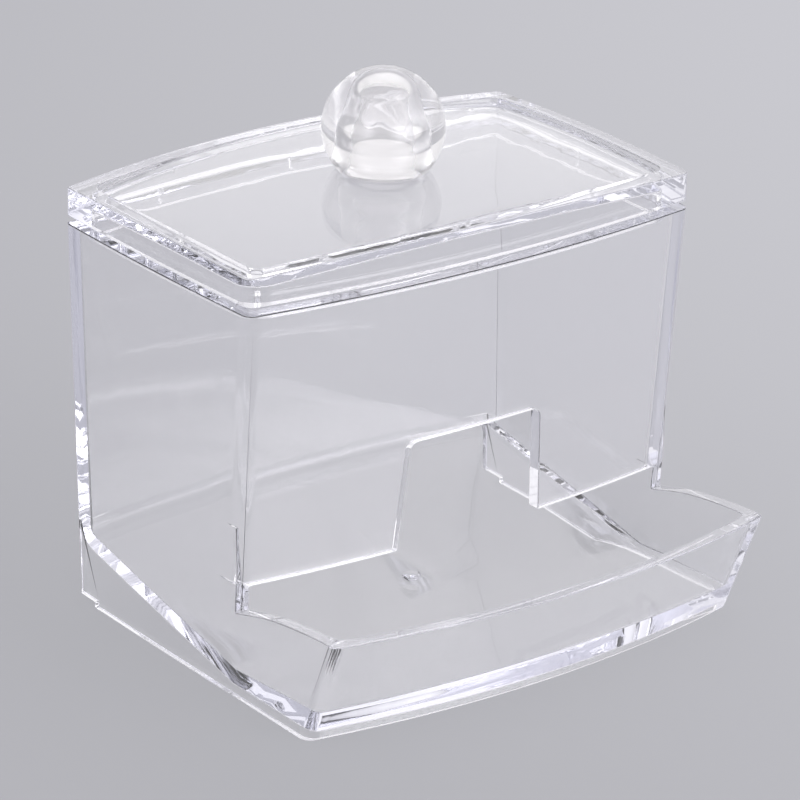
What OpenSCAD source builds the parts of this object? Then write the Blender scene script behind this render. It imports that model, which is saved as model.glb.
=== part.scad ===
// Cotton swab holder: a clear moulded box with a dispensing tray in front,
// a lift-off lid and a clear ball knob.
// Sizes in millimetres. X runs to the right, Y from the tray to the back, Z up.
// The origin is on the ground under the middle of the whole holder.

/* [Box] */
// Width of the box between its top corners
box_width = 90; // [86:0.5:95]
// Depth of the box between its top corners
box_depth = 50.5; // [46:0.5:56]
// Height of the box's open rim
box_height = 66.45; // [60:0.05:72]
// Thickness of the box's walls
wall = 2.45; // [2:0.05:3]
// Inward lean of the two side walls over the whole height
side_draft = 0.6; // [0.3:0.05:2]
// Inward lean of the back wall over the whole height
back_draft = 3; // [1:0.1:4]
// Inward lean of the front wall over the whole height
front_draft = 3.6; // [1:0.1:5]
// Outward sag of the front wall over its width
front_bow = 3.3; // [0:0.1:5]
// Outward sag of the back wall over its width
back_bow = 3.6; // [0:0.1:5]
// Outward sag of each side wall at the rim
side_bow = 0.5; // [0:0.1:1]
// Outer radius of the box's front corners
front_corner = 1.8; // [0.5:0.1:4]
// Outer radius of the box's back corners
back_corner = 0.9; // [0.3:0.1:3]

/* [Front opening] */
// Height of the front wall's lower edge above the ground
front_edge_z = 19.3; // [17:0.1:22]
// Height of the finger notch's top edge
notch_top_z = 38.3; // [34:0.1:42]
// Width of the finger notch at its top
notch_top_width = 26.6; // [22:0.1:32]
// Width of the finger notch at the front wall's lower edge
notch_foot_width = 29.6; // [24:0.1:36]
// Rounding of the notch's two upper corners
notch_corner = 1.2; // [0.4:0.1:3]

/* [Tray] */
// Reach of the tray's front corners at the ground, from the box's middle
tray_foot_reach = 41.4; // [38:0.1:46]
// Reach of the tray's front corners at their top
tray_top_reach = 48.5; // [44:0.1:54]
// Height of the tray's front wall at its corners
tray_height = 19.2; // [16:0.1:22]
// Outward sag of the tray's front wall at the ground
tray_foot_bow = 4.6; // [0:0.1:6]
// Outward sag of the tray's front wall at its top
tray_top_bow = 5.2; // [0:0.1:6]
// Thickness of the tray's walls
tray_wall = 2.1; // [1.8:0.05:3]

/* [Floor and ramp] */
// Height of the floor's upper face at the foot of the ramp, its lowest line
floor_top = 4.25; // [3:0.05:5]
// Rise of the floor towards the tray's front, per millimetre
floor_rise = 0.064; // [0:0.002:0.1]
// Height of the hollow under the floor
foot_hollow = 1.65; // [0.5:0.05:2]
// Thickness of the foot rim round that hollow, at the front
foot_rim = 2; // [1.5:0.1:4]
// Distance of the ramp's foot from the box's middle, beside the side walls
ramp_foot = 20.5; // [14:0.1:24]
// Rise of the ramp per millimetre
ramp_rise = 0.207; // [0.15:0.001:0.3]
// Thickness of the ramp
ramp_thick = 2.7; // [2:0.05:3.2]
// Inner radius of the bend from the ramp into the back wall
ramp_bend = 1.8; // [1:0.1:6]
// Length of the raised step at the back of each side wall's foot
foot_step_length = 4.4; // [2:0.1:8]
// Height of that step
foot_step = 1.0; // [0.5:0.1:2]
// Radius of the small round gate mark on the ramp
gate_radius = 1.6; // [1:0.1:2.5]
// Height of the gate mark
gate_height = 0.35; // [0.2:0.05:0.6]

/* [Lid] */
// Height at which the lid sits above the rim, held by its small ribs
lid_stand = 1.3; // [0:0.1:3]
// Height of the lid's edge at its corners
lid_edge = 4.8; // [4:0.1:6]
// Radius of the lid's gently domed top
dome_radius = 650; // [400:10:1000]
// Radius of the recessed panel's dome
panel_radius = 400; // [300:10:900]
// Width of the flat band round the recessed panel
band = 3.04; // [2:0.02:4]
// Depth of the recessed panel at its corners
recess = 0.95; // [0.5:0.05:2]
// Thickness of the lid's panel
panel_thick = 2.4; // [1.8:0.05:3]
// Clearance between the lid's skirt and the box's mouth
skirt_clear = 0.36; // [0.2:0.02:0.6]
// Depth of the skirt below the lid's edge
skirt_depth = 2.9; // [2:0.1:5]
// Thickness of the skirt
skirt_thick = 1.7; // [1.2:0.1:2.5]
// Width of each small friction rib
rib_width = 0.8; // [0.5:0.1:1.5]
// Height of each small friction rib
rib_height = 2.3; // [1.5:0.1:3]
// Distance from the lid's middle to the outer ribs on its long sides
rib_pitch = 27.5; // [20:0.5:35]

/* [Knob] */
// Radius of the ball knob
ball_radius = 10.2; // [8:0.1:12]
// Height of the ball's middle above the lid's panel
ball_rise = 6.9; // [5:0.1:9]

/* [Hidden] */
thin = 0.01;
rib_clear = 0.15;
arc_steps = 16;
corner_steps = 5;
back_y = box_depth / 2;
front_y = -box_depth / 2;
foot_half = box_width / 2 - side_draft;
back_foot_y = back_y - back_draft;
front_foot_y = front_y + front_draft;
// The whole holder reaches from the tray's top edge to the back wall's middle
reach_back = back_y + back_bow;
reach_front = tray_top_reach + tray_top_bow;
shift_y = (reach_front - reach_back) / 2;
lid_z = box_height + lid_stand;
lid_top_z = lid_z + lid_edge;
corner_run = norm([box_width / 2, box_depth / 2]);
dome_z = lid_top_z - sqrt(dome_radius * dome_radius - corner_run * corner_run);
panel_half_x = box_width / 2 - band;
panel_half_y = box_depth / 2 - band;
panel_run = norm([panel_half_x, panel_half_y]);
panel_corner_z = dome_z + sqrt(dome_radius * dome_radius - panel_run * panel_run) - recess;
panel_z = panel_corner_z - sqrt(panel_radius * panel_radius - panel_run * panel_run);
panel_top_z = panel_z + panel_radius;
// The ramp follows the back wall's sag, so it turns about that wall's middle of curvature
inner_half = foot_half - wall;
bow_radius = (inner_half * inner_half + back_bow * back_bow) / (2 * back_bow);
ramp_angle = atan(ramp_rise);
back_inner_y = back_foot_y - wall + back_draft * 0.2;
bow_middle_y = back_inner_y + back_bow - bow_radius;
bend_y = back_inner_y - ramp_bend + 0.06;
bend_z = floor_top + ramp_rise * (bend_y + ramp_foot) + ramp_bend / cos(ramp_angle);
bend_steps = 7;
gate_y = -10.6;
gusset_top_z = 30;
tray_root_y = -22.5;
tray_root_z = 15.1;
clear_tint = [0.86, 0.88, 0.95, 0.45];
ball_tint = [0.9, 0.91, 0.96, 0.45];

// A run of points along one sagging edge, its ends left out for the corners
function edge_points(a, b, bow, gap) =
    let (d = b - a)
    let (run = norm(d))
    let (out = [d[1], -d[0]] / run)
    [for (i = [0 : arc_steps])
        let (t = gap / run + (1 - 2 * gap / run) * i / arc_steps)
        a + d * t + out * 4 * bow * t * (1 - t)];

// The outward direction of a sagging edge at its start (side 1) or end (side -1)
function edge_out(a, b, bow, side) =
    let (d = (b - a) / norm(b - a))
    let (out = [d[1], -d[0]])
    let (along = d + out * side * 4 * bow / norm(b - a))
    [along[1], -along[0]] / norm(along);

// A rounded corner between two edges whose outward directions are given
function corner_points(p, out_a, out_b, r) =
    let (middle = p - r * (out_a + out_b) / (1 + out_a * out_b))
    let (start = atan2(out_a[1], out_a[0]))
    let (turn = acos(out_a * out_b))
    [for (i = [0 : corner_steps])
        middle + r * [cos(start + turn * i / corner_steps), sin(start + turn * i / corner_steps)]];

// A four-cornered plan with sagging edges, from its front and back corners
function plan(half_x, low_y, high_y, bow_front, bow_back, bow_side, r_front, r_back) =
    let (fl = [-half_x, low_y])
    let (fr = [half_x, low_y])
    let (br = [half_x, high_y])
    let (bl = [-half_x, high_y])
    concat(
        corner_points(fl, edge_out(bl, fl, bow_side, -1), edge_out(fl, fr, bow_front, 1), r_front),
        edge_points(fl, fr, bow_front, r_front * 1.1),
        corner_points(fr, edge_out(fl, fr, bow_front, -1), edge_out(fr, br, bow_side, 1), r_front),
        edge_points(fr, br, bow_side, max(r_front, r_back) * 1.1),
        corner_points(br, edge_out(fr, br, bow_side, -1), edge_out(br, bl, bow_back, 1), r_back),
        edge_points(br, bl, bow_back, r_back * 1.1),
        corner_points(bl, edge_out(br, bl, bow_back, -1), edge_out(bl, fl, bow_side, 1), r_back),
        edge_points(bl, fl, bow_side, max(r_front, r_back) * 1.1));

// The plan of the box's rim, drawn in by a distance
function rim_plan(inset, r_front, r_back) =
    plan(box_width / 2 - inset, front_y + inset, back_y - inset,
        front_bow, back_bow, side_bow, r_front, r_back);

// Height of the ramp's upper face, by the distance from the box's middle beside the side walls
function ramp_top(y) = floor_top + ramp_rise * (y + ramp_foot);

// Turns a side profile into one that follows the back wall's sag
function swept(points) = [for (p = points) [p[0] + back_bow - bow_middle_y, p[1]]];

module sheet(points, z) {
    translate([0, 0, z]) linear_extrude(height = thin) polygon(points);
}

module side_profile(points, width) {
    rotate([90, 0, 90]) translate([0, 0, -width / 2]) linear_extrude(height = width) polygon(points);
}

module box_outer() {
    hull() {
        sheet(rim_plan(0, front_corner, back_corner), box_height - thin);
        sheet(plan(foot_half, front_foot_y, back_foot_y, front_bow, back_bow, 0.15,
            front_corner, back_corner), 0);
    }
}

module box_inner() {
    hull() {
        sheet(rim_plan(wall, 1.6, 0.8), box_height);
        sheet(plan(foot_half - wall, front_foot_y + wall, back_foot_y - wall,
            front_bow, back_bow, 0.15, 1.6, 0.8), 0);
    }
}

module tray_outer() {
    lift = gusset_top_z / tray_height;
    hull() {
        sheet(plan(foot_half + side_draft * gusset_top_z / box_height,
            -tray_foot_reach - (tray_top_reach - tray_foot_reach) * lift, back_foot_y - 5,
            tray_foot_bow + (tray_top_bow - tray_foot_bow) * lift, 0.1, 0.1, 0.8, 0.4), gusset_top_z);
        sheet(plan(foot_half, -tray_foot_reach, back_foot_y - 5, tray_foot_bow, 0.1, 0.1, 2.2, 0.4), 0);
    }
}

module tray_inner() {
    lift = gusset_top_z / tray_height;
    side = 2.4;
    hull() {
        sheet(plan(foot_half + side_draft * gusset_top_z / box_height - side,
            tray_wall - tray_foot_reach - (tray_top_reach - tray_foot_reach) * lift, -12,
            tray_foot_bow + (tray_top_bow - tray_foot_bow) * lift, 0.1, 0.1, 1.4, 0.4), gusset_top_z);
        sheet(plan(foot_half - side, tray_wall - tray_foot_reach, -12,
            tray_foot_bow, 0.1, 0.1, 1.4, 0.4), 0);
    }
}

// Side walls of the tray: a soft hump forward of the box's front corners
module tray_side_shape() {
    top = tray_height;
    side_profile([
        [-60, -1], [20, -1], [20, gusset_top_z], [tray_root_y, gusset_top_z],
        [tray_root_y - 0.3, 21], [tray_root_y, tray_root_z],
        [-25, 15.8], [-27.4, 16.5], [-29.7, 17.1], [-32, 17.62], [-35.2, 18.12],
        [-38.5, 18.55], [-41, 18.82], [-43.6, 19.05], [-46, top], [-60, top]
    ], 100);
}

module sweep(points) {
    translate([0, bow_middle_y, 0]) rotate([0, 0, 70])
        rotate_extrude(angle = 40, $fn = 720) polygon(swept(points));
}

// Everything above the floor, the ramp and the bend into the back wall
module above_floor() {
    sweep(concat(
        [[-64, 90], [-64, floor_top + floor_rise * (64 - ramp_foot)], [-ramp_foot, floor_top]],
        [for (i = [0 : bend_steps])
            let (a = -90 + ramp_angle + (90 - ramp_angle) * i / bend_steps)
            [bend_y + ramp_bend * cos(a), bend_z + ramp_bend * sin(a)]],
        [[bend_y + ramp_bend + 6, bend_z + 40], [bend_y + ramp_bend + 6, 90]]));
}

// The space under the floor and the ramp, open below and at the back
module under_floor() {
    outer_bend = ramp_bend + ramp_thick;
    low_y = -ramp_foot + (foot_hollow - floor_top + ramp_thick / cos(ramp_angle)) / ramp_rise;
    intersection() {
        sweep(concat(
            [[-64, -1], [-64, foot_hollow], [low_y, foot_hollow]],
            [for (i = [0 : bend_steps])
                let (a = -90 + ramp_angle + (90 - ramp_angle) * i / bend_steps)
                [bend_y + outer_bend * cos(a), bend_z + outer_bend * sin(a)]],
            [[bend_y + outer_bend + 12, bend_z], [bend_y + outer_bend + 12, -1]]));
        translate([0, 0, -1]) linear_extrude(height = 25)
            polygon(plan(inner_half, foot_rim - tray_foot_reach, 60,
                tray_foot_bow, 0.1, 0.1, 1.2, 0.4));
    }
}

// The round mark that the moulding's gate leaves on the ramp, a low dome
module gate_mark() {
    dome = (gate_radius * gate_radius + gate_height * gate_height) / (2 * gate_height);
    intersection() {
        translate([0, gate_y, ramp_top(gate_y - back_bow) + gate_height - dome])
            rotate([ramp_angle, 0, 0]) sphere(r = dome, $fn = 64);
        translate([0, gate_y, ramp_top(gate_y - back_bow) - 0.6])
            cylinder(h = 2, r = gate_radius, $fn = 48);
    }
}

module finger_notch() {
    half_top = notch_top_width / 2;
    half_foot = notch_foot_width / 2;
    c = notch_corner;
    translate([0, -15, 0]) rotate([90, 0, 0]) linear_extrude(height = 25)
        polygon([
            [-half_foot, front_edge_z - 1], [half_foot, front_edge_z - 1],
            [half_top + 0.1, notch_top_z - c], [half_top - 0.3 * c, notch_top_z - 0.3 * c],
            [half_top - c, notch_top_z],
            [-half_top + c, notch_top_z], [-half_top + 0.3 * c, notch_top_z - 0.3 * c],
            [-half_top - 0.1, notch_top_z - c]
        ]);
}

module foot_steps() {
    for (s = [-1, 1])
        translate([s * 44 - 6, back_foot_y - foot_step_length, -1]) cube([12, 12, 1 + foot_step]);
}

module body() {
    color(clear_tint) translate([0, shift_y, 0]) {
        moulded_box();
        gate_mark();
    }
}

module moulded_box() {
    difference() {
        union() {
            box_outer();
            intersection() {
                tray_outer();
                tray_side_shape();
            }
        }
        intersection() {
            box_inner();
            above_floor();
        }
        intersection() {
            tray_inner();
            above_floor();
            side_profile([[-60, -1], [5, -1], [5, front_edge_z], [-29, front_edge_z],
                [-29, 50], [-60, 50]], 100);
        }
        under_floor();
        finger_notch();
        foot_steps();
    }
}

// One small upright rib on the skirt's outer face
module rib(x, y, turn) {
    reach = skirt_clear - rib_clear;
    translate([x, y, lid_z - rib_height]) rotate([0, 0, turn])
        translate([-rib_width / 2, -0.6, 0]) cube([rib_width, 0.6 + reach, rib_height + 0.2]);
}

module lid() {
    inset = wall + skirt_clear;
    big = 400;
    color(clear_tint) translate([0, shift_y, 0]) difference() {
        union() {
            intersection() {
                translate([0, 0, lid_z]) linear_extrude(height = lid_edge + 6)
                    polygon(rim_plan(0, front_corner + 0.2, back_corner));
                translate([0, 0, dome_z]) sphere(r = dome_radius, $fn = big);
            }
            translate([0, 0, lid_z - skirt_depth]) linear_extrude(height = skirt_depth + 0.5)
                polygon(rim_plan(inset, 3.4, 3));
            for (x = [-rib_pitch, 0, rib_pitch]) {
                half = box_width / 2 - inset;
                sag = 1 - x * x / (half * half);
                lean = atan(2 * x / (half * half) * front_bow);
                rib(x, front_y + inset - front_bow * sag, 180 + lean);
                rib(x, back_y - inset + back_bow * sag, -lean);
            }
            rib(-box_width / 2 + inset - side_bow, 0, 90);
            rib(box_width / 2 - inset + side_bow, 0, -90);
        }
        // The recessed panel, its edge sloping in a little
        difference() {
            hull() {
                sheet(rim_plan(band - 0.45, 2.6, 2.4), lid_top_z + 2.6);
                sheet(rim_plan(band + 0.75, 2, 1.8), lid_top_z - 1.6);
            }
            translate([0, 0, panel_z]) sphere(r = panel_radius, $fn = big);
        }
        // The hollow inside the skirt
        intersection() {
            translate([0, 0, lid_z - skirt_depth - 1]) linear_extrude(height = 20)
                polygon(rim_plan(inset + skirt_thick, 2.4, 2));
            translate([0, 0, panel_z]) sphere(r = panel_radius - panel_thick, $fn = big);
        }
    }
}

module ball_knob() {
    color(ball_tint) translate([0, shift_y, 0]) difference() {
        translate([0, 0, panel_top_z + ball_rise]) sphere(r = ball_radius, $fn = 96);
        translate([0, 0, panel_z]) sphere(r = panel_radius, $fn = 400);
    }
}

body();
lid();
ball_knob();
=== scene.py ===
"""Clear cotton swab holder on a pale grey studio floor, seen from the front left and above."""

import math

import bmesh
import bpy
from mathutils import Matrix, Vector


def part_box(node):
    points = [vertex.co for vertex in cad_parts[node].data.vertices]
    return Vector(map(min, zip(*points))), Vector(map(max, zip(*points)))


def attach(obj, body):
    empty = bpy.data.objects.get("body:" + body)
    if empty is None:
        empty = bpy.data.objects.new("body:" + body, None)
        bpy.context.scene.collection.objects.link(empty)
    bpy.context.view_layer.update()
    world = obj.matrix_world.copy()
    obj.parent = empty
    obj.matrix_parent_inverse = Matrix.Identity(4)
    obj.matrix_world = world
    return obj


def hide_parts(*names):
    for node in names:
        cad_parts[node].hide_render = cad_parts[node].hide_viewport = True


MM = 0.001

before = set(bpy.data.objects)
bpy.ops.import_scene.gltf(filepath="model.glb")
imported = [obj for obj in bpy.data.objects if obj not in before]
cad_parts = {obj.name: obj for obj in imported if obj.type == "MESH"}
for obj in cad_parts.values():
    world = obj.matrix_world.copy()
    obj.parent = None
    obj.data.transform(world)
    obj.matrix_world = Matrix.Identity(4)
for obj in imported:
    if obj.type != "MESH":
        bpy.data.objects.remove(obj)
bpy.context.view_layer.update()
scene = bpy.context.scene


# Materials

# Each tint is a pair of colours that the plastic's faint clouding runs between
BOX_TINT = ((0.986, 0.984, 0.998), (0.995, 0.994, 1.0))
BALL_TINT = ((0.992, 0.985, 0.99), (0.998, 0.995, 0.998))
BOX_IOR = 1.55
BALL_IOR = 1.5
CLOUD_SCALE = 30.0
CLOUD_RANGE = (0.35, 0.75)
WAVE_DEPTH = 0.2 * MM
GLOSS = 0.03
EDGE_TINT = (0.4, 0.42, 0.97, 1.0)
EDGE_TINT_DENSITY = 1.7


def add_node(tree, kind, place, **values):
    node = tree.nodes.new(kind)
    node.location = place
    for key, value in values.items():
        setattr(node, key, value)
    return node


def add_flow_waves(tree, coords, shader, wave, wave_scale):
    """The faint waviness that the flow of the plastic leaves on a moulded face."""
    flow = add_node(tree, "ShaderNodeTexNoise", (-850, -260))
    flow.inputs["Scale"].default_value = wave_scale
    flow.inputs["Detail"].default_value = 0.0
    tree.links.new(coords.outputs["Object"], flow.inputs["Vector"])
    bump = add_node(tree, "ShaderNodeBump", (-420, -320))
    bump.inputs["Strength"].default_value = wave
    bump.inputs["Distance"].default_value = WAVE_DEPTH
    tree.links.new(flow.outputs["Fac"], bump.inputs["Height"])
    tree.links.new(bump.outputs["Normal"], shader.inputs["Normal"])


def add_clouding(tree, coords, shader, tint, rough):
    """Faint clouds in the tint, with the gloss a little uneven along them."""
    cloud = add_node(tree, "ShaderNodeTexNoise", (-850, 240))
    cloud.inputs["Scale"].default_value = CLOUD_SCALE
    cloud.inputs["Detail"].default_value = 1.0
    tree.links.new(coords.outputs["Object"], cloud.inputs["Vector"])
    tints = add_node(tree, "ShaderNodeMix", (-420, 260), data_type="RGBA")
    tints.inputs["A"].default_value = (*tint[0], 1.0)
    tints.inputs["B"].default_value = (*tint[1], 1.0)
    tree.links.new(cloud.outputs["Fac"], tints.inputs["Factor"])
    tree.links.new(tints.outputs["Result"], shader.inputs["Base Color"])

    gloss = add_node(tree, "ShaderNodeMapRange", (-420, 0))
    gloss.inputs["From Min"].default_value = CLOUD_RANGE[0]
    gloss.inputs["From Max"].default_value = CLOUD_RANGE[1]
    gloss.inputs["To Min"].default_value = 0.0
    gloss.inputs["To Max"].default_value = rough
    tree.links.new(cloud.outputs["Fac"], gloss.inputs["Value"])
    tree.links.new(gloss.outputs["Result"], shader.inputs["Roughness"])


def add_skin_haze(tree, shader, haze, inner_haze):
    """Haze on the outer skin, so that light which runs inside a wall still reaches its edge."""
    skin = add_node(tree, "ShaderNodeNewGeometry", (-640, -560))
    share = add_node(tree, "ShaderNodeMapRange", (-420, -560))
    share.inputs["To Min"].default_value = 1.0 - haze
    share.inputs["To Max"].default_value = 1.0 - inner_haze
    tree.links.new(skin.outputs["Backfacing"], share.inputs["Value"])
    tree.links.new(share.outputs["Result"], shader.inputs["Transmission Weight"])


def clear_plastic(name, tint, ior, haze, wave, wave_scale, rough=GLOSS, inner_haze=0.0):
    """Polished clear moulding: faint tint, flow waviness, uneven gloss and a thin surface haze."""
    mat = bpy.data.materials.new(name)
    mat.use_nodes = True
    tree = mat.node_tree
    shader = tree.nodes["Principled BSDF"]
    shader.inputs["IOR"].default_value = ior
    coords = add_node(tree, "ShaderNodeTexCoord", (-1100, 0))
    add_flow_waves(tree, coords, shader, wave, wave_scale)
    add_clouding(tree, coords, shader, tint, rough)
    add_skin_haze(tree, shader, haze, inner_haze)
    return mat


def add_edge_tint(mat):
    """A weak blue-violet body colour, which shows only where light runs far inside a wall."""
    tree = mat.node_tree
    depth = add_node(tree, "ShaderNodeVolumeAbsorption", (0, -400))
    depth.inputs["Color"].default_value = EDGE_TINT
    depth.inputs["Density"].default_value = EDGE_TINT_DENSITY
    tree.links.new(depth.outputs["Volume"], tree.nodes["Material Output"].inputs["Volume"])


box_clear = clear_plastic("box_clear", BOX_TINT, BOX_IOR, haze=0.1, wave=0.004, wave_scale=55.0)
lid_clear = clear_plastic("lid_clear", BOX_TINT, BOX_IOR, haze=0.065, wave=0.004, wave_scale=55.0)
ball_clear = clear_plastic("ball_clear", BALL_TINT, BALL_IOR, haze=0.03, wave=0.08, wave_scale=140.0)
core_clear = clear_plastic("core_clear", BALL_TINT, BALL_IOR, haze=0.2, wave=0.6, wave_scale=260.0,
                           rough=0.16, inner_haze=0.16)
add_edge_tint(box_clear)
add_edge_tint(lid_clear)


# Mouldings, each a copy of its solid with its sharp edges eased

BODY_EASE = 0.22 * MM
LID_EASE = 0.25 * MM
WELD = 0.002 * MM
FLAT_ANGLE = math.radians(0.35)
SHARP_ANGLE = math.radians(28)
NORMAL_WEIGHT = 50


def eased_copy(node, name, material, body, width):
    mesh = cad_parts[node].data.copy()
    mesh.name = name
    bm = bmesh.new()
    bm.from_mesh(mesh)
    bmesh.ops.remove_doubles(bm, verts=bm.verts, dist=WELD)
    bmesh.ops.dissolve_limit(bm, angle_limit=FLAT_ANGLE, verts=bm.verts, edges=bm.edges)
    for face in bm.faces:
        face.smooth = True
    bm.to_mesh(mesh)
    bm.free()
    mesh.materials.clear()
    mesh.materials.append(material)
    obj = bpy.data.objects.new(name, mesh)
    scene.collection.objects.link(obj)
    ease = obj.modifiers.new("ease", "BEVEL")
    ease.width = width
    ease.segments = 2
    ease.limit_method = "ANGLE"
    ease.angle_limit = SHARP_ANGLE
    ease.use_clamp_overlap = False
    ease.miter_outer = "MITER_ARC"
    shade = obj.modifiers.new("shade", "WEIGHTED_NORMAL")
    shade.mode = "FACE_AREA"
    shade.weight = NORMAL_WEIGHT
    shade.keep_sharp = False
    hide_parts(node)
    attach(obj, body)


eased_copy("body", "body_clear", box_clear, "box", BODY_EASE)
eased_copy("lid", "lid_shell", lid_clear, "lid", LID_EASE)


# Ball knob, cut to the lid's dome at its base, with the moulding's narrow core inside

# The dome under the ball, and the height of the ball's centre above the dome's top
DOME_RADIUS = 400 * MM
BALL_RISE = 6.9 * MM
# Room between the ball and the dome, and the small step at the ball's lowest edge
SEAT_GAP = 0.03 * MM
SEAT_EDGE = 0.12 * MM
SEAT_SHARE = 0.985
SEAT_RINGS = 7
BALL_STEPS = 72
BALL_TURNS = 128
# The core: how far it stands off the dome, its radii, its heights and the waves in its side
CORE_LOW = 0.4 * MM
CORE_FOOT = 5.9 * MM
CORE_HEAD = 4.2 * MM
CORE_RISE = 11.0 * MM
HEAD_RISE = 2.6 * MM
CORE_WAVE = 0.32 * MM
CORE_WAVES = 4.5
CORE_STEPS = 24
HEAD_STEPS = 12


def dome_drop(r):
    """How far the dome has fallen at a distance from its middle."""
    return DOME_RADIUS - math.sqrt(DOME_RADIUS**2 - r**2)


def ball_profile(radius, centre_z):
    drop = 0.0
    for _ in range(12):
        ring = math.sqrt(radius**2 - (BALL_RISE + drop) ** 2)
        drop = dome_drop(ring)
    seat_z = centre_z - BALL_RISE + SEAT_GAP
    points = []
    for i in range(SEAT_RINGS + 1):
        r = ring * SEAT_SHARE * i / SEAT_RINGS
        points.append((r, seat_z - dome_drop(r)))
    start = math.asin((BALL_RISE + drop - SEAT_GAP - SEAT_EDGE) / radius)
    for i in range(BALL_STEPS):
        angle = -start + (math.pi / 2 + start) * i / BALL_STEPS
        points.append((radius * math.cos(angle), centre_z + radius * math.sin(angle)))
    points.append((0.0, centre_z + radius))
    return points


def core_profile(low_z):
    """A slightly tapered hollow with wavy sides and a rounded head."""
    points = [(0.0, low_z)]
    for i in range(CORE_STEPS + 1):
        s = i / CORE_STEPS
        swell = CORE_WAVE * math.sin(s * CORE_WAVES * math.pi) * (1 - s)
        points.append((CORE_FOOT + (CORE_HEAD - CORE_FOOT) * s + swell, low_z + CORE_RISE * s))
    head_z = low_z + CORE_RISE
    for i in range(1, HEAD_STEPS):
        angle = math.pi / 2 * i / HEAD_STEPS
        points.append((CORE_HEAD * math.cos(angle), head_z + HEAD_RISE * math.sin(angle)))
    points.append((0.0, head_z + HEAD_RISE))
    return points


def turn_ring(bm, axis, r, z):
    if r == 0:
        return [bm.verts.new((*axis, z))]
    ring = []
    for k in range(BALL_TURNS):
        a = 2 * math.pi * k / BALL_TURNS
        ring.append(bm.verts.new((axis[0] + r * math.cos(a), axis[1] + r * math.sin(a), z)))
    return ring


def turn_shell(bm, axis, points, layer, hollow):
    """A closed shell turned from a profile, facing inward where it bounds a hollow."""
    rings = [turn_ring(bm, axis, r, z) for r, z in points]
    made = []
    for lower, upper in zip(rings, rings[1:]):
        for k in range(BALL_TURNS):
            n = (k + 1) % BALL_TURNS
            if len(lower) == 1:
                corners = (lower[0], upper[n], upper[k])
            elif len(upper) == 1:
                corners = (lower[k], lower[n], upper[0])
            else:
                corners = (lower[k], lower[n], upper[n], upper[k])
            made.append(bm.faces.new(corners))
    bmesh.ops.recalc_face_normals(bm, faces=made)
    if hollow:
        bmesh.ops.reverse_faces(bm, faces=made)
    for face in made:
        face.material_index = layer
        face.smooth = True


def lathed_ball(name, node, outer, inner):
    low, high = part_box(node)
    axis = ((low.x + high.x) / 2, (low.y + high.y) / 2)
    radius = (high.x - low.x) / 2
    centre_z = high.z - radius
    bm = bmesh.new()
    turn_shell(bm, axis, ball_profile(radius, centre_z), 0, hollow=False)
    turn_shell(bm, axis, core_profile(centre_z - BALL_RISE + CORE_LOW), 1, hollow=True)
    mesh = bpy.data.meshes.new(name)
    bm.to_mesh(mesh)
    bm.free()
    mesh.materials.append(outer)
    mesh.materials.append(inner)
    obj = bpy.data.objects.new(name, mesh)
    scene.collection.objects.link(obj)
    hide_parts(node)
    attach(obj, "lid")


lathed_ball("ball_solid", "ball_knob", ball_clear, core_clear)


# Floor: painted light. Its tone falls off with the distance from the centre of a painted pool of light
# at the right, and most of its shading is a glow, which lightens the object's shadow on it

# Tones of the painted pool of light on the floor, at its centre and beyond its reach
FLOOR_POOL_LIT = (0.622, 0.622, 0.662, 1.0)
FLOOR_POOL_FADED = (0.452, 0.452, 0.482, 1.0)
PAINTED_POOL_CENTRE = (0.542, 0.007, 0.0)
PAINTED_POOL_REACH = 0.6
# Share of the floor that glows with this painted light, which lightens the object's shadow on it
FLOOR_GLOW = 0.82
FLOOR_SIZE = 8
FLOOR_Z = -0.03 * MM


# Painted pool of light: the floor's tone set by its distance from the pool's centre
def painted_floor_light(tree):
    place = add_node(tree, "ShaderNodeTexCoord", (-1300, 0))
    reach = add_node(tree, "ShaderNodeVectorMath", (-1100, 0), operation="DISTANCE")
    reach.inputs[1].default_value = PAINTED_POOL_CENTRE
    tree.links.new(place.outputs["Object"], reach.inputs[0])
    far = add_node(tree, "ShaderNodeMapRange", (-850, 120))
    far.inputs["From Max"].default_value = PAINTED_POOL_REACH
    tree.links.new(reach.outputs["Value"], far.inputs["Value"])
    fall = add_node(tree, "ShaderNodeMath", (-600, 120), operation="POWER")
    fall.inputs[1].default_value = 2.0
    tree.links.new(far.outputs["Result"], fall.inputs[0])
    ramp = add_node(tree, "ShaderNodeMix", (-350, 0), data_type="RGBA")
    ramp.inputs["A"].default_value = FLOOR_POOL_LIT
    ramp.inputs["B"].default_value = FLOOR_POOL_FADED
    tree.links.new(fall.outputs["Value"], ramp.inputs["Factor"])
    return ramp.outputs["Result"]


def floor_material():
    mat = bpy.data.materials.new("floor_grey")
    mat.use_nodes = True
    tree = mat.node_tree
    shader = tree.nodes["Principled BSDF"]
    shader.inputs["Roughness"].default_value = 0.9
    shader.inputs["Specular IOR Level"].default_value = 0.1
    tone = painted_floor_light(tree)
    tree.links.new(tone, shader.inputs["Base Color"])
    # The floor glows with its painted pool of light
    glow = add_node(tree, "ShaderNodeEmission", (-100, -250))
    tree.links.new(tone, glow.inputs["Color"])
    mix = add_node(tree, "ShaderNodeMixShader", (200, 0))
    mix.inputs["Fac"].default_value = FLOOR_GLOW
    tree.links.new(shader.outputs["BSDF"], mix.inputs[1])
    tree.links.new(glow.outputs["Emission"], mix.inputs[2])
    tree.links.new(mix.outputs["Shader"], tree.nodes["Material Output"].inputs["Surface"])
    return mat


bpy.ops.mesh.primitive_plane_add(size=FLOOR_SIZE, location=(0, 0, FLOOR_Z))
floor = bpy.context.object
floor.name = "floor"
floor.data.materials.append(floor_material())


# Studio light: an even dome with broad soft lights in it, each with azimuth, elevation and strength

STUDIO_COLOUR = (0.99, 0.98, 1.0, 1.0)
STUDIO_LEVEL = 0.86
SOFT_LIGHTS = ((22, 12, 4.0), (142, 20, 0.25), (262, 12, 1.6))
SOFT_POWER = 8.0


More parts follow.
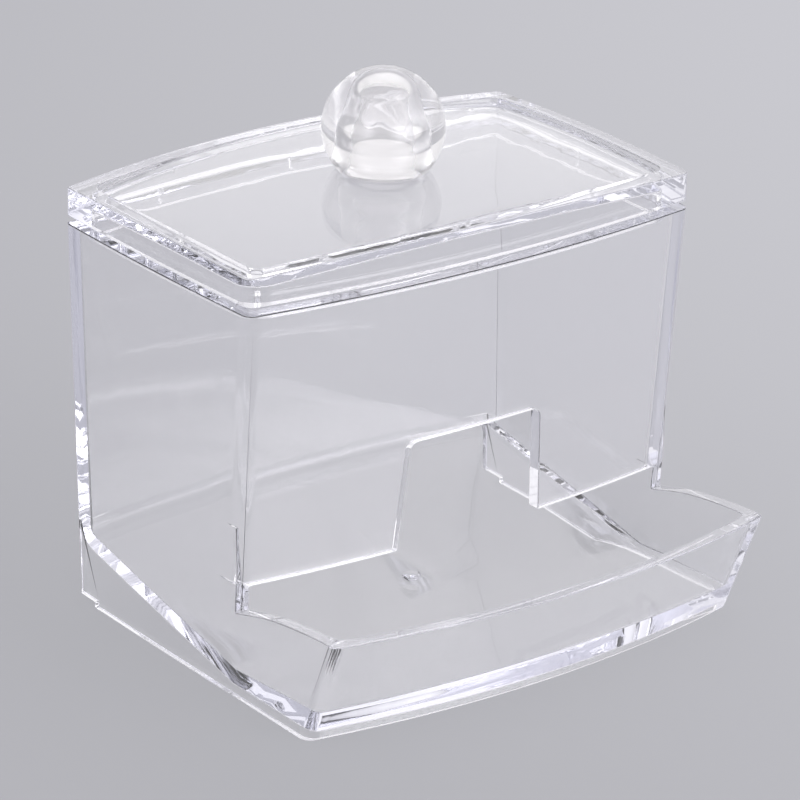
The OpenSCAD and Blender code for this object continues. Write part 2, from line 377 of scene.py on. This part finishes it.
def soft_light(tree, place, azimuth, elevation, strength, row):
    """A broad soft light in the dome, which adds to the strength given to its last input."""
    turn = math.radians(azimuth)
    lift = math.radians(elevation)
    toward = (math.sin(turn) * math.cos(lift), -math.cos(turn) * math.cos(lift), math.sin(lift))
    facing = add_node(tree, "ShaderNodeVectorMath", (-1100, row), operation="DOT_PRODUCT")
    facing.inputs[1].default_value = toward
    tree.links.new(place.outputs["Generated"], facing.inputs[0])
    front = add_node(tree, "ShaderNodeMath", (-900, row), operation="MAXIMUM")
    front.inputs[1].default_value = 0.0
    tree.links.new(facing.outputs["Value"], front.inputs[0])
    spread = add_node(tree, "ShaderNodeMath", (-700, row), operation="POWER")
    spread.inputs[1].default_value = SOFT_POWER
    tree.links.new(front.outputs["Value"], spread.inputs[0])
    total = add_node(tree, "ShaderNodeMath", (-500, row), operation="MULTIPLY_ADD")
    tree.links.new(spread.outputs["Value"], total.inputs[0])
    total.inputs[1].default_value = strength
    total.inputs[2].default_value = STUDIO_LEVEL
    return total


world = bpy.data.worlds.new("studio")
scene.world = world
world.use_nodes = True
world_tree = world.node_tree
background = world_tree.nodes["Background"]
background.inputs["Color"].default_value = STUDIO_COLOUR
world_place = add_node(world_tree, "ShaderNodeTexCoord", (-1300, 0))
before = None
for i, (azimuth, elevation, strength) in enumerate(SOFT_LIGHTS):
    total = soft_light(world_tree, world_place, azimuth, elevation, strength, -200 * i)
    if before:
        world_tree.links.new(before.outputs["Value"], total.inputs[2])
    before = total
world_tree.links.new(before.outputs["Value"], background.inputs["Strength"])


# Camera

AZIMUTH = math.radians(-37.93)
ELEVATION = math.radians(21.43)
ROLL = math.radians(1.6)
DISTANCE = 687.12 * MM
TARGET = Vector((0, 12.425 * MM, 50 * MM))
# Focal length and the fitted picture centre's offset, in pixels of the picture's width
IMAGE = 800
FOCAL_PIXELS = 4149.24
CENTRE_OFF = (-21.54, -91.81)
SENSOR = 36.0
CLIP_START = 0.01

back = Vector((
    math.sin(AZIMUTH) * math.cos(ELEVATION),
    -math.cos(AZIMUTH) * math.cos(ELEVATION),
    math.sin(ELEVATION),
))
right = Vector((math.cos(AZIMUTH), math.sin(AZIMUTH), 0))
up = back.cross(right)
rolled_right = right * math.cos(ROLL) + up * math.sin(ROLL)
rolled_up = up * math.cos(ROLL) - right * math.sin(ROLL)
# The picture centre lies off the target, so the camera turns to it and needs no shift
look = -back - rolled_right * (CENTRE_OFF[0] / FOCAL_PIXELS) + rolled_up * (CENTRE_OFF[1] / FOCAL_PIXELS)
look.normalize()
side = look.cross(rolled_up).normalized()
above = side.cross(look)

cam_data = bpy.data.cameras.new("camera")
cam_data.sensor_width = SENSOR
cam_data.lens = FOCAL_PIXELS * SENSOR / IMAGE
cam_data.clip_start = CLIP_START
camera = bpy.data.objects.new("camera", cam_data)
scene.collection.objects.link(camera)
axes = Matrix((side, above, -look)).transposed()
camera.matrix_world = Matrix.Translation(TARGET + back * DISTANCE) @ axes.to_4x4()
scene.camera = camera


# Render settings: enough bounces for light that runs along a wall to come out at its edge

BOUNCES = 32

scene.view_settings.view_transform = "Standard"
scene.cycles.max_bounces = BOUNCES
scene.cycles.transmission_bounces = BOUNCES
scene.cycles.glossy_bounces = BOUNCES
